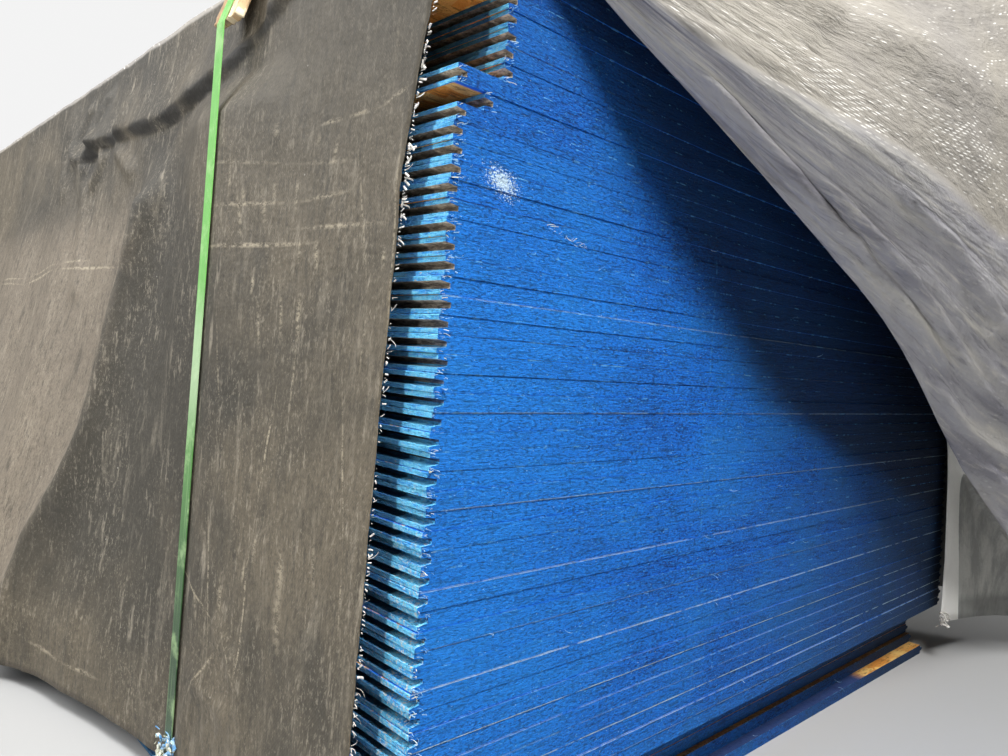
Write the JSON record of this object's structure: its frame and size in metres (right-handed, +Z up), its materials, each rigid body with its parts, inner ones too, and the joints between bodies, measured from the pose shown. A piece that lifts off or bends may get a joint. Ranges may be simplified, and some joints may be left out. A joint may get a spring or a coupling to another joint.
{
  "type": "oriented strand board bundle",
  "caption": "Strapped bundle of tongue-and-groove oriented strand board, edges painted, under a woven cover that is slit at one corner and pulled open across the end.",
  "frame": {"origin": "middle of the main stack's footprint, on the underside of the bottom panel", "axes": "+Z up, Y along the panels with the opened end at -Y, X across them with the grooved edges at -X and the tongues at +X"},
  "size_m": [1.5604, 2.7125, 1.1224],
  "materials": {
    "panel": "matte edge paint over pressed wood strands",
    "cover": "coated woven sheet, slightly glossy, dusty",
    "strap": "embossed polyester strapping",
    "board": "rough offcut of strand board"
  },
  "bodies": {
    "root": {"panel_bottom": "panel", "panel_second": "panel", "panels_lower": "panel", "panels_main": "panel", "panel_recessed_low": "panel", "panel_proud": "panel", "panels_recessed_high": "panel", "panels_top": "panel", "cover": "cover", "strap_front": "strap", "strap_rear": "strap", "board_front_left": "board", "board_front_right": "board", "board_rear_left": "board", "board_rear_right": "board"}
  },
  "joints": []
}
